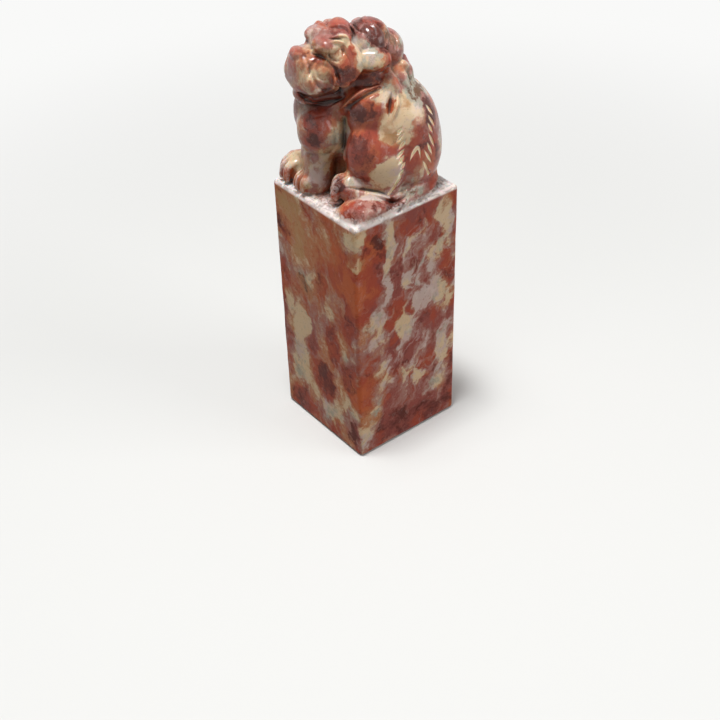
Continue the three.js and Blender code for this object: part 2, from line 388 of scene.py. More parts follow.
def carve_mane(stone):
    join(stone, NECK, ((-3.2, 0.2, -4.6), (6.6, 5.8, 4.4), 0.8))
    for y in (3.0, 0.2, -2.8):
        lock = ((-5.8, y, -3.2), (-8.2, y * 1.1, -5.2), (-9.6, y * 1.2, -8.0))
        stone.add(Rope(NECK, lock, (2.0, 1.7, 0.6)), 0.25)


def carve_head(stone):
    join(stone, HEAD,
         ((-1.2, 0, 0), (7.2, 5.3, 5.9), 0.8),
         ((2.6, 0, 1.4), (4.4, 4.5, 4.6), 1.2, 2.4),
         ((4.3, 0, 4.6), (3.3, 4.3, 2.4), 0.5, 2.5, (0, -8, 0)),
         ((2.3, 0, 6.3), (2.3, 3.4, 1.8), 0.3),
         ((-2.8, 0.2, 4.0), (3.9, 4.6, 3.6), 0.2),
         ((-6.4, 0.4, 1.8), (2.8, 4.1, 3.2), 0.2))


def carve_muzzle(stone):
    join(stone, HEAD,
         ((5.8, 0, 1.1), (4.4, 4.3, 3.0), 0.7, 3),
         ((7.0, 0, -0.2), (4.7, 4.6, 3.9), 0.5, 3.2, (0, -4, 0)),
         ((8.9, 0, -1.7), (2.7, 3.5, 2.2), 0.8, 2.6),
         ((8.8, 0, -4.2), (2.5, 3.0, 1.7), 0.5),
         ((6.8, 0, 2.6), (3.6, 2.3, 1.8), 0.4),
         ((9.9, 0, 3.2), (1.6, 2.5, 1.2), 0.35),
         ((5.6, 0, -4.6), (5.0, 3.7, 1.6), 0.4, 2.2, (0, 4, 0)))


def carve_ground(stone):
    join(stone, BLOCK, ((0, 0, -1.7), (11.9, 11.9, 2.4), 0.8, 5))
    join(stone, BODY,
         ((0.0, 12.0, -0.1), (5.2, 4.1, 3.0), 0.5, 2, (0, 0, -4)),
         ((-7.0, 9.2, 0.0), (4.6, 2.6, 1.5), 0.8, 2, (0, 0, 35)),
         ((-2, -12.2, -0.4), (5, 4, 2.8), 1.0),
         ((-7, -9.4, -0.2), (4.4, 2.4, 1.6), 0.8, 2, (0, 0, -35)))


def carve_brow_and_cheek(stone, side):
    head, place = HEAD.mirrored(side), view(HEAD, side)
    join(stone, head, ((4.9, 2.7, 5.0), (2.6, 2.0, 1.5), 0.35, 2, (0, -10, 20)))
    join(stone, place,
         ((5.7, 3.4, 5.4), (1.3, 1.3, 1.2), 0.3),
         ((4.5, 3.4, 6), (1.3, 1.0, 1.2), 0.3),
         ((2.8, 3.3, 6.3), (1.1, 0.9, 1.2), 0.3),
         ((5.7, 1.5, 6.6), (1.3, 1.0, 1.2), 0.3),
         ((3.8, -0.1, 5), (3.0, 2.2, 1.7), 0.6),
         ((2, -1.3, 4.9), (3.0, 3.0, 1.9), 0.8),
         ((2.8, -0.2, 6.1), (1.4, 1.2, 1.0), 0.3))
    join(stone, head, ((8.9, 2.7, -1.0), (2.9, 2.2, 2.9), 0.4, 2.4))
    join(stone, place, ((1.4, -3.5, 4.6), (1.9, 2.2, 1.3), 0.3, 2, (0, 0, 20)))


def carve_face(stone, side):
    place = view(HEAD, side)
    # eyelid and the folds of the brow
    draw(stone, place,
         (((3.8, 1.1), (2.6, 1.5), (0.9, 1.3)), 0.7, -0.7),
         (((3.5, 2.3), (1.9, 2.5), (0.6, 2.1), (0, 0.9)), 0.7, -0.6),
         (((4.5, 2), (2.9, 2), (1.2, 2), (0.4, 1.1)), 0.4, 0.5),
         (((4.3, 4.3), (2.6, 4.2), (1.1, 3.8), (0.4, 2.8)), 0.5, 0.5),
         (((4.1, 0.2), (3.8, -0.9), (2.8, -1.6), (1.7, -1.3)), 0.4, 0.3))
    # nose, muzzle and cheek
    draw(stone, place,
         (((10.1, -0.4), (9.3, -0.9), (8.3, -0.5)), 0.6, 0.35),
         (((7.1, -0.2), (5.4, -0.7), (3.8, -1.7)), 0.6, 0.45),
         (((4.5, -1.2), (3.3, -2.4), (2.6, -3.8), (2.1, -5.3)), 0.7, 0.6),
         (((1.6, 1), (1.1, -0.2), (0.2, -1.9), (0.6, -3.6)), 0.35, 0.22),
         (((2.3, 1), (1.6, 0), (1.8, -1.2)), 0.3, 0.22),
         (((2.6, -2.8), (1.8, -3.6), (1.4, -5)), 0.35, 0.25),
         (((7.9, 0.7), (6.6, 0.3), (4.8, 0.3)), 0.6, -0.3))
    # curl of the lip
    join(stone, place, ((5.2, -3.3, 5.4), (0.8, 0.8, 0.8), 0.5))
    draw(stone, place,
         (((4.5, -4.3), (5.7, -4.3), (6.2, -3.1), (5.4, -2.2), (4, -2.6), (3.3, -3.9)), 0.5, 0.22),
         (((5.9, -1.2), (6.9, -2.4), (6.9, -3.9), (5.7, -5.5), (4, -6)), 0.6, 0.4),
         (((3.6, -2.2), (3, -3.6), (3.1, -5.3), (4.7, -6.2)), 0.5, -0.35),
         (((7.9, -1), (7.4, -2.6), (7.8, -4.3), (9, -5.7)), 0.5, 0.45),
         (((9, -1.4), (8.4, -2.8), (9, -4.1), (10, -5)), 0.5, 0.4),
         (((10, -1.6), (9.6, -2.8), (10.3, -3.9)), 0.4, 0.3))
    # mouth
    draw(stone, place,
         (((9.8, -5.5), (8.3, -6.7), (6.7, -7.5), (4.5, -7.2), (1.1, -6.5)), 0.8, 1.1),
         (((8.8, -8.2), (7.1, -9.3), (4.8, -8.9), (2.4, -8.1)), 0.7, 0.35))


def carve_hollows(stone, side):
    """The drilled hollows behind the jaw and behind the foreleg."""
    stone.cut(Ball(view(HEAD, side), (-2.7, -4.8, 5), (3.2, 1.6, 2.6), tilt=(0, 0, 12)), 0.6)
    stone.cut(Ball(view(BODY, side), (4.5, 1.5, 12.5), (1.2, 2.1, 3.4), tilt=(0, 0, -10)), 0.7)


def carve_ear(stone, side):
    place = view(HEAD, side)
    join(stone, place, ((1.4, 2.1, 6.6), (1.3, 0.8, 0.8), 0.2, 2, (0, 0, -20)))
    roll = ((0.9, 1.3, 6.2), (-0.1, -0.1, 5.7), (-0.6, -1.9, 5.2), (0.2, -3.8, 4.8))
    stone.add(Rope(place, roll, (0.8, 1.2, 1.4, 1.0)), 0.4)
    join(stone, place, ((-3.6, -0.8, 4.4), (3.2, 2.1, 1.6), 0.3, 2.3, (0, 0, -6)))
    draw(stone, place, (((-5.4, 0.8), (-6.1, -0.5), (-6, -1.8), (-4.6, -2.7)), 0.45, 0.3))


def carve_crest(stone, side):
    draw(stone, view(HEAD, side),
         (((0.6, 5.6), (0.2, 4.4), (-0.6, 3.1)), 0.4, 0.4),
         (((-0.1, 6), (-0.6, 4.6), (-1.7, 3.2)), 0.4, 0.35),
         (((-3, 6), (-5.1, 4.6), (-5.8, 2.9), (-5.4, 1.4)), 0.6, 0.4),
         (((-0.8, 6.1), (-2.9, 5.1), (-3.9, 3.4), (-3.5, 1.5)), 0.5, 0.2),
         (((-1, 4.1), (-2.3, 3.1), (-2.9, 1.9), (-2.3, 0.8)), 0.45, 0.25),
         (((-6.5, 4.8), (-7.5, 3.1), (-7.5, 1)), 0.45, 0.3))


def carve_flank(stone, side):
    place = view(BODY, side)
    # locks behind the ear
    locks = ((((-5.1, 18.7, 15.6), (-6.5, 15.9, 15.6), (-8.3, 13.1, 14.8)), (0.9, 1.1, 0.2)),
             (((-3.8, 16.7, 16.5), (-5.2, 14.6, 16.4), (-6.8, 12.5, 16)), (0.8, 0.9, 0.2)),
             (((-6.5, 19.9, 13.6), (-7.6, 17.3, 13.8), (-8.5, 15.3, 13.6)), (0.9, 0.9, 0.2)))
    for path, radii in locks:
        stone.add(Rope(place, path, radii), 0.4)
    # ridge of the shoulder
    draw(stone, place, (((-2.8, 14.3), (-0.1, 13.1), (2.3, 11.7), (4.7, 10.2)), 0.7, -0.8))
    draw(stone, place,
         (((-3.7, 14), (-0.5, 12.5), (2.3, 10.9), (3.5, 9.1), (3.7, 6.7), (3.9, 3.2)), 0.9, 0.45),
         (((11.5, 4.7), (9.6, 3.5), (7.1, 3.5), (5, 4.7)), 0.9, 0.5),
         (((7.6, 9.8), (6.2, 8.4), (5.3, 6.3), (5.3, 4.6)), 0.7, 0.25), low=8)
    # tuft
    draw(stone, place,
         (((-5.6, 13.1), (-5.6, 10.9), (-4.6, 7.9)), 0.6, -0.7),
         (((-4.6, 13.2), (-4.3, 11.1), (-4.1, 8.5)), 0.75, 0.55), low=13)
    carve_strokes(stone, place)
    # lines round the foot
    draw(stone, place,
         (((4, -2.7), (0.9, -2.9), (-2.4, -3.3), (-4.5, -3.8), (-6.9, -2.7)), 0.5, 0.4),
         (((-1.3, -4), (-3.5, -4.6), (-5.6, -5.1), (-7.1, -4), (-8.5, -2)), 0.5, 0.3))


def carve_strokes(stone, place):
    """The strokes of hair, pale as fresh cuts and with a painted highlight: a row on the thigh, and a row
    beside the spine that ends in a fork.
    """
    thigh = (((-6.6, 7.4), (-5.5, 5.8)), ((-6.9, 6.5), (-5.3, 4.6)), ((-7.3, 5.5), (-5.8, 3.5)),
             ((-7.1, 4), (-5.5, 2.1)), ((-7.1, 3.1), (-5.8, 1)), ((-7.3, 1.9), (-6.2, 0.3)),
             ((-7.1, 0.7), (-5.7, -1.1)), ((-6.7, -0.4), (-5, -2.5)), ((-6, -1.5), (-4.2, -3.6)),
             ((-5.1, -2.7), (-3.9, -4)))
    spine = (((-10.6, 11.8), (-12.2, 10)), ((-11, 10.1), (-12.6, 8)), ((-11, 8.7), (-12.2, 6.9)),
             ((-11.2, 7.1), (-12.6, 4.6)), ((-11, 5.5), (-12.2, 3.3)), ((-10.4, 4.2), (-12.2, 1.9)),
             ((-10.3, 2.4), (-11.7, 0.2)), ((-11, 1.3), (-12.1, -0.3)),
             ((-7.9, 1.7), (-8.6, 3.3), (-9.5, 4.2), (-10, 2.2)))
    for low, strokes in ((9, thigh), (7, spine)):
        for path in strokes:
            line(stone, place, path, 0.34, 0.5, 1, low=low, fresh_and_lit=1)


def carve_rim(stone):
    """Tool marks beside the edges of the ground, and small chips off the edges."""
    dice = np.random.default_rng(5)
    for turn in (0, 90, 180, 270):
        side = BLOCK.inside((0, 0, 0), (0, 0, turn))
        for _ in range(7):
            middle, length, inward = dice.uniform(-9, 9), dice.uniform(2, 5), dice.uniform(9.9, 11.8)
            bend, slope = dice.uniform(-0.3, 0.3), dice.uniform(-0.5, 0.5)
            path = ((middle - length / 2, -inward - slope), (middle, -inward + bend),
                    (middle + length / 2, -inward + slope))
            width, depth = dice.uniform(0.3, 0.5), dice.uniform(0.08, 0.18)
            line(stone, side, path, width, depth, 0.8, low=-1.5, high=0.9, fresh_and_lit=0.3)
        for _ in range(5):
            at = (dice.uniform(-11, 11), -COLUMN_WIDTH / 2 - dice.uniform(0.0, 0.15), dice.uniform(0.0, 0.2))
            half = (dice.uniform(0.5, 1.3), dice.uniform(0.3, 0.5), dice.uniform(0.3, 0.6))
            stone.cut(Ball(side, at, half, tilt=(0, 0, dice.uniform(-20, 20))), 0.15)


def carve_beast(cell):
    reach = COLUMN_WIDTH / 2 + 0.4
    stone = Stone((-reach, -reach, -4), (reach, reach, 34), cell)
    carve_body(stone)
    for side in (LEFT, RIGHT):
        carve_haunch(stone, side)
    carve_foreleg(stone, LEFT, (9.4, 2.9, 2.3), (8.5, 3.0, 3))
    carve_foreleg(stone, RIGHT, (12.2, -2, 2.8), (8.6, -3.2, 3))
    carve_tail(stone)
    carve_mane(stone)
    carve_head(stone)
    carve_muzzle(stone)
    carve_ground(stone)
    for side in (LEFT, RIGHT):
        for carve in (carve_brow_and_cheek, carve_face, carve_hollows, carve_ear, carve_crest, carve_flank):
            carve(stone, side)
    stone.keep_within(COLUMN_WIDTH / 2 - 0.1, 0.8)
    stone.add(Slab(COLUMN_WIDTH, EDGE_RADIUS), 0.6)
    carve_rim(stone)
    for size, amount, seed in ((3.2, 0.12, 4), (1.5, 0.08, 9), (0.8, 0.035, 21)):
        stone.roughen(size, amount, seed)
    return stone


def between(grid, at):
    """Values of a grid at places given in cells, by linear interpolation."""
    top = np.array(grid.shape) - 2
    cell = np.clip(at.astype(int), 0, top)
    share = np.clip(at - cell, 0, 1)
    total = 0
    for corner in np.ndindex(2, 2, 2):
        weight = np.prod(np.where(corner, share, 1 - share), axis=1)
        spot = cell + corner
        total = total + weight * grid[spot[:, 0], spot[:, 1], spot[:, 2]]
    return total


def cropped(grid, cuts):
    """The grid without its last layer along the axes that cuts maps to 0, or its first where it says 1."""
    kept = {None: slice(None), 0: slice(None, -1), 1: slice(1, None)}
    return grid[tuple(kept[cuts.get(axis)] for axis in range(3))]


def close_pinches(depth, rounds=6):
    """Fills the grid's corners where two parts of the stone would meet along one edge only."""
    just_inside = -0.01
    for _ in range(rounds):
        for u, v in ((0, 1), (1, 2), (0, 2)):
            corners = [cropped(depth, {u: i, v: j}) for i, j in ((0, 0), (1, 1), (1, 0), (0, 1))]
            a, b, c, d = (corner < 0 for corner in corners)
            pinched = (a & b & ~c & ~d) | (c & d & ~a & ~b)
            for corner in corners:
                corner[pinched] = np.minimum(corner[pinched], just_inside)


def cells_round(edges, axis):
    """The four cells round each edge of the grid that runs along an axis."""
    u, v = (axis + 1) % 3, (axis + 2) % 3
    for du, dv in ((0, 0), (0, 1), (1, 0), (1, 1)):
        cell = edges + 1
        cell[:, u] -= du
        cell[:, v] -= dv
        yield tuple(cell.T)


def skin(depth, settle=3):
    """The surface as points, in cells, and four-sided faces, with one point in each cell that it crosses."""
    close_pinches(depth)
    total = np.zeros([n + 1 for n in depth.shape] + [3], np.float32)
    count = np.zeros([n + 1 for n in depth.shape], np.int16)
    crossings = []
    for axis in range(3):
        first, second = cropped(depth, {axis: 0}), cropped(depth, {axis: 1})
        at = np.argwhere((first < 0) != (second < 0))
        low, high = first[tuple(at.T)], second[tuple(at.T)]
        point = at.astype(np.float32)
        point[:, axis] += low / (low - high)
        crossings.append((axis, at, low < 0))
        for cell in cells_round(at, axis):
            np.add.at(total, cell, point)
            np.add.at(count, cell, 1)
    used = count > 0
    number = np.full(count.shape, -1, np.int64)
    number[used] = np.arange(used.sum())
    points = total[used] / count[used][:, None]
    faces = []
    for axis, at, outward in crossings:
        sides = [side for side in range(3) if side != axis]
        inner = ((at > 0) & (at < np.array(depth.shape) - 1))[:, sides].all(axis=1)
        at, outward = at[inner], outward[inner]
        a, b, c, d = (number[cell] for cell in cells_round(at, axis))
        ring = np.stack([d, b, a, c], axis=1)
        ring[~outward] = ring[~outward][:, ::-1]
        faces.append(ring)
    for _ in range(settle):
        slope = np.zeros_like(points)
        for axis in range(3):
            step = np.zeros(3)
            step[axis] = 0.5
            slope[:, axis] = between(depth, points + step) - between(depth, points - step)
        steep = np.maximum((slope**2).sum(axis=1), 1e-6)
        move = np.clip(between(depth, points) / np.sqrt(steep), -0.5, 0.5) / np.sqrt(steep)
        points = points - 0.9 * slope * move[:, None]
    return points, np.concatenate(faces)


def largest_piece(points, faces):
    """Drops the crumbs and the air pockets that the carving leaves."""
    label = np.arange(len(points))
    edges = np.concatenate([np.roll(faces, turn, axis=1)[:, :2] for turn in range(4)])
    while True:
        before = label.copy()
        low = label[edges].min(axis=1)
        for end in edges.T:
            np.minimum.at(label, end, low)
        label = label[label]
        if (label == before).all():
            break
    kept = label == np.bincount(label).argmax()
    number = np.cumsum(kept) - 1
    return points[kept], number[faces[kept[faces[:, 0]]]]


def main_piece_only(mesh):
    """Deletes the crumbs that hang on by one point only."""
    mesh.faces.index_update()
    owner = {}
    sizes = []
    for seed in mesh.faces:
        if seed.index in owner:
            continue
        owner[seed.index] = len(sizes)
        front = [seed]
        size = 0
        while front:
            face = front.pop()
            size += 1
            for edge in face.edges:
                for other in edge.link_faces:
                    if other.index not in owner:
                        owner[other.index] = len(sizes)
                        front.append(other)
        sizes.append(size)
    main = sizes.index(max(sizes))
    crumbs = [face for face in mesh.faces if owner[face.index] != main]
    bmesh.ops.delete(mesh, geom=crumbs, context="FACES")


def new_object(name, points, faces):
    mesh = bpy.data.meshes.new(name)
    mesh.from_pydata([tuple(p) for p in points], [], [tuple(f) for f in faces])
    mesh.update()
    obj = bpy.data.objects.new(name, mesh)
    bpy.context.scene.collection.objects.link(obj)
    for polygon in mesh.polygons:
        polygon.use_smooth = True
    return obj


def mark_points(obj, name, values):
    layer = obj.data.attributes.new(name, "FLOAT", "POINT")
    layer.data.foreach_set("value", np.asarray(values, np.float32))


def blurred(grid, reach, rounds=2):
    """A running mean along each axis."""
    for _ in range(rounds):
        for axis in range(3):
            total = np.cumsum(np.moveaxis(grid, axis, 0), axis=0, dtype=np.float64)
            wide = total.copy()
            wide[2 * reach + 1 :] = total[2 * reach + 1 :] - total[: -2 * reach - 1]
            mean = np.moveaxis(grid, axis, 0).copy()
            mean[reach:-reach] = wide[2 * reach :] / (2 * reach + 1)
            grid = np.moveaxis(mean, 0, axis)
    return grid


def surroundings(stone, points, reach, limit):
    """How far outside the stone the surroundings of each point are, on average. In a hollow it is less."""
    near = blurred(np.clip(stone.depth, -limit, limit), round(reach / stone.cell))
    return between(near, points)


def thinned(obj, triangles):
    thin = obj.modifiers.new("thin", "DECIMATE")
    thin.ratio = min(1.0, triangles / (2 * len(obj.data.polygons)))
    bpy.context.view_layer.objects.active = obj
    bpy.ops.object.modifier_apply(modifier="thin")


def sculpted_beast():
    stone = carve_beast(CELL)
    points, faces = largest_piece(*skin(stone.depth))
    beast = new_object("carved_beast", (points * CELL + stone.low + (0, 0, COLUMN_TOP)) * MM, faces)
    # hollow and nook set where painted shade goes; the last marks the strokes' pale fresh cut and painted
    # highlight
    mark_points(beast, "hollow", surroundings(stone, points, 0.8, 3))
    mark_points(beast, "nook", surroundings(stone, points, 0.32, 2))
    mark_points(beast, "fresh_and_lit_marks", between(stone.fresh_and_lit_marks, points))
    thinned(beast, MOST_TRIANGLES)
    flat = bmesh.new()
    flat.from_mesh(beast.data)
    main_piece_only(flat)
    bmesh.ops.dissolve_degenerate(flat, edges=flat.edges, dist=0.002 * MM)
    everything = flat.verts[:] + flat.edges[:] + flat.faces[:]
    seam = (0, 0, SEAM * MM)
    bmesh.ops.bisect_plane(flat, geom=everything, plane_co=seam, plane_no=(0, 0, -1), clear_outer=True)
    rim = [edge for edge in flat.edges if edge.is_boundary]
    closed = bmesh.ops.edgeloop_fill(flat, edges=rim)
    for edge in rim:
        edge.smooth = False
    bmesh.ops.recalc_face_normals(flat, faces=closed["faces"])
    flat.to_mesh(beast.data)
    flat.free()
    return beast


def round_corner(corner, radius, steps):
    """One corner of the column's outline. They go anticlockwise, from the one at +X +Y."""
    turn = corner * math.pi / 2
    middle = COLUMN_WIDTH / 2 - radius
    for i in range(steps + 1):
        angle = i / steps * math.pi / 2
        x, y = middle + radius * math.cos(angle), middle + radius * math.sin(angle)
        yield x * math.cos(turn) - y * math.sin(turn), x * math.sin(turn) + y * math.cos(turn)


def ground_column():
    """The column between the two seams, with edges rounded by hand a little more here and less there."""
    dice = np.random.default_rng(11)
    rows, steps = 97, 8
    wander = dice.normal(size=(4, rows + 12))
    wander = np.array([np.convolve(w, np.hanning(13) / 5, "valid")[:rows] for w in wander])
    points, faces = [], []
    for row in range(rows):
        share = row / (rows - 1)
        ease = math.sin(math.pi * share) ** 0.5
        z = FACE_TOP + (SEAM - FACE_TOP) * share
        for corner in range(4):
            radius = max(LEAST_RADIUS, EDGE_RADIUS + EDGE_WANDER * ease * wander[corner][row])
            points += [(x * MM, y * MM, z * MM) for x, y in round_corner(corner, radius, steps)]
    around = 4 * (steps + 1)
    for row in range(rows - 1):
        for i in range(around):
            j = (i + 1) % around
            a, b = row * around, (row + 1) * around
            faces.append((a + i, a + j, b + j, b + i))
    faces.append(tuple(reversed(range(around))))
    faces.append(tuple(range((rows - 1) * around, rows * around)))
    column = new_object("ground_column", points, faces)
    for edge in column.data.edges:
        ends = {i // around for i in edge.vertices}
        edge.use_edge_sharp = ends in ({0}, {rows - 1})
    return column


class Wire:
    """A number or a vector that a node gives out. Calculating with it adds the nodes that do so."""

    def __init__(self, nodes, socket):
        self.nodes, self.socket = nodes, socket

    def combined(self, operation, other):
        kind = "ShaderNodeMath" if self.socket.type == "VALUE" else "ShaderNodeVectorMath"
        return self.nodes.add(kind, {0: self, 1: other}, operation=operation)

    def __add__(self, other):
        return self.combined("ADD", other)

    def __sub__(self, other):
        return self.combined("SUBTRACT", other)

    def __truediv__(self, other):
        return self.combined("DIVIDE", other)

    def __mul__(self, other):
        """A product with a number."""
        if self.socket.type == "VALUE":
            return self.combined("MULTIPLY", other)
        return self.nodes.scaled(self, other)

    def __abs__(self):
        return self.nodes.add("ShaderNodeMath", {0: self}, operation="ABSOLUTE")


class Nodes:
    """Short names for making the nodes of a material or of the world."""

    def __init__(self, owner):
        owner.use_nodes = True
        self.owner, self.tree = owner, owner.node_tree
        self.tree.nodes.clear()

    def node(self, kind, inputs=None, **settings):
        node = self.tree.nodes.new(kind)
        for key, value in settings.items():
            setattr(node, key, value)
        for key, value in (inputs or {}).items():
            if isinstance(value, Wire):
                self.tree.links.new(value.socket, node.inputs[key])
            else:
                node.inputs[key].default_value = value
        return node

    def add(self, kind, inputs=None, out=0, **settings):
        return Wire(self, self.node(kind, inputs, **settings).outputs[out])

    def most(self, a, b):
        return self.add("ShaderNodeMath", {0: a, 1: b}, operation="MAXIMUM")

    def vector(self, *parts):
        return self.add("ShaderNodeCombineXYZ", dict(enumerate(parts)))

    def parts(self, vector):
        return [Wire(self, out) for out in self.node("ShaderNodeSeparateXYZ", {0: vector}).outputs]

    def scaled(self, vector, share):
        return self.add("ShaderNodeVectorMath", {0: vector, 3: share}, operation="SCALE")

    def length(self, vector):
        return self.add("ShaderNodeVectorMath", {0: vector}, 1, operation="LENGTH")

    def noise(self, where, scale, detail=4.0, roughness=0.55, colour=False):
        inputs = {"Vector": where, "Scale": scale, "Detail": detail, "Roughness": roughness}
        return self.add("ShaderNodeTexNoise", inputs, 1 if colour else 0)

    def sway(self, where, scale, detail, roughness=0.55):
        """A vector that wanders round zero."""
        return self.noise(where, scale, detail, roughness, colour=True) - (0.5, 0.5, 0.5)

    def edges(self, where, scale):
        """The distance to the nearest seam between crumbs."""
        return self.add("ShaderNodeTexVoronoi", {"Vector": where, "Scale": scale}, feature="DISTANCE_TO_EDGE")

    def ramp(self, value, low, high, to_low=0.0, to_high=1.0):
        inputs = {0: value, 1: low, 2: high, 3: to_low, 4: to_high}
        return self.add("ShaderNodeMapRange", inputs, interpolation_type="SMOOTHSTEP", clamp=True)

    def mix(self, share, a, b):
        a, b = (colour(*c) if isinstance(c, tuple) else c for c in (a, b))
        return self.add("ShaderNodeMix", {0: share, 6: a, 7: b}, 2, data_type="RGBA")

    def layered(self, base, *layers):
        """A colour with others laid over it, each where a value goes from its low to its high."""
        for value, low, high, top in layers:
            base = self.mix(self.ramp(value, low, high), base, top)
        return base

    def drawn_out(self, place, share):
        """Squeezes places along the stone's bedding, so that what is painted there is drawn out."""
        along = tuple(Vector((0.5, 0.35, 0.8)).normalized())
        far = self.add("ShaderNodeVectorMath", {0: place, 1: along}, 1, operation="DOT_PRODUCT")
        return place - self.scaled(along, far) * share

    def near(self, place, middle, half, inner, share=1.0):
        """A share inside an ellipsoid, which falls off to nothing a little outside it."""
        return self.ramp(self.length((place - middle) / half), inner, 1.3, share, 0.0)

    def mark(self, name):
        """A value that was stored on the beast's points."""
        return self.add("ShaderNodeAttribute", out="Fac", attribute_name=name)

    def seen_rays(self):
        """One for rays from the camera and for mirrored and refracted ones, and zero for the rest."""
        path = self.node("ShaderNodeLightPath").outputs
        kinds = ("Is Camera Ray", "Is Glossy Ray", "Is Transmission Ray")
        camera, glossy, clear = (Wire(self, path[kind]) for kind in kinds)
        return self.most(self.most(camera, glossy), clear)


def colour(red, green, blue):
    """A colour written as a screen shows it, 0 to 255."""
    parts = []
    for part in (red, green, blue):
        part /= 255
        parts.append(part / 12.92 if part <= 0.04045 else ((part + 0.055) / 1.055) ** 2.4)
    return (*parts, 1.0)


CREAM = (198, 175, 144)
TAN = (170, 130, 90)
LILAC = (184, 163, 156)
GREY_GREEN = (156, 151, 136)
OLIVE = (98, 68, 46)
MAUVE = (152, 106, 96)
RUSSET = (170, 112, 78)
ORANGE = (172, 90, 54)
RED = (152, 67, 47)
PURPLE = (134, 68, 60)
DEEP = (82, 30, 20)
PALE = (216, 206, 202)
ASH = (138, 125, 120)
# painted shade, laid into the hollows and nooks
PAINTED_SHADE = (44, 26, 19)
# pale of fresh cuts, with the painted highlight of the strokes' lit side
FRESH_CUT_AND_HIGHLIGHT = (242, 228, 200)
# Soft patches where the stone differs from its even mottling; a few, as marked, are painted shade or a
# painted highlight instead. Each has its middle and its half-sizes, in millimetres from the middle of the
# bottom, and how much redder, warmer and darker it is, in hundredths. On a face of the column the middle has
# only two coordinates.
LEFT_FACE = (
    ((8, 51.5), (6, 4.5, 3.5), (-10, 24, 10)),  # olive corner
    ((5, 45), (5, 5, 6), (-4, 24, 2)),  # tan shoulder
    ((-3.5, 48), (5, 4.5, 6), (2, 18, 0)),  # orange tan
    ((4.5, 34.5), (4, 1.5, 2.4), (-6, 12, 42)),  # dark olive spot
    ((2.5, 33), (4, 1.4, 2.4), (-2, 12, 38)),  # dark olive spot, lower end
    ((-8, 42.5), (5, 3.6, 7), (14, 14, 0)),  # salmon
    ((-11, 38.5), (4, 2.4, 5), (20, 14, 2)),  # salmon at the edge
    ((9.5, 27.5), (5, 1.8, 3.5), (-16, 2, 0)),  # cream streak
    ((5.5, 24), (5, 2.4, 4), (-20, 0, 0)),  # cream streak, middle
    ((-3.5, 33), (5, 1.6, 4), (-8, 4, 4)),  # second cream streak
    ((-1, 36.5), (4, 2.2, 3), (10, 12, 8)),  # tan bridge
    ((6.5, 15), (5, 3, 8), (-22, -2, 0)),  # cream column
    ((12.5, 22), (4, 1.6, 5), (14, -12, 6)),  # purple left edge
    ((2, 21.5), (4, 1.1, 4.5), (16, -14, 8)),  # purple thread
    ((9, 2), (5, 2.6, 4), (20, 6, 12)),  # dark red foot, partly painted shade low down
    ((10.5, 33.5), (4, 1.8, 3.6), (14, 10, 4)),  # salmon left edge
    ((-4.5, 24), (4, 2.2, 5.5), (20, 2, 10)),  # red brown
    ((-10, 31), (4, 2, 4), (14, -4, 14)),  # dark grey red
    ((-1.5, 13.5), (4, 3.2, 4.8), (20, 6, 20)),  # red brown
    ((-9.5, 18), (4, 2.6, 4.5), (22, 8, 20)),  # dark brown
    ((6.5, 2), (5, 3.2, 4), (14, -14, 6)),  # purple foot, partly painted shade low down
    ((-2.5, 5.5), (5, 2.4, 3.5), (-18, -4, 2)),  # cream foot
    ((-9.5, 6), (4, 2.6, 4), (12, -10, 14)),  # purple foot at the edge, partly painted shade low down
    ((9.5, 45), (4, 2.6, 3), (6, 12, 14)),  # brown left edge
)
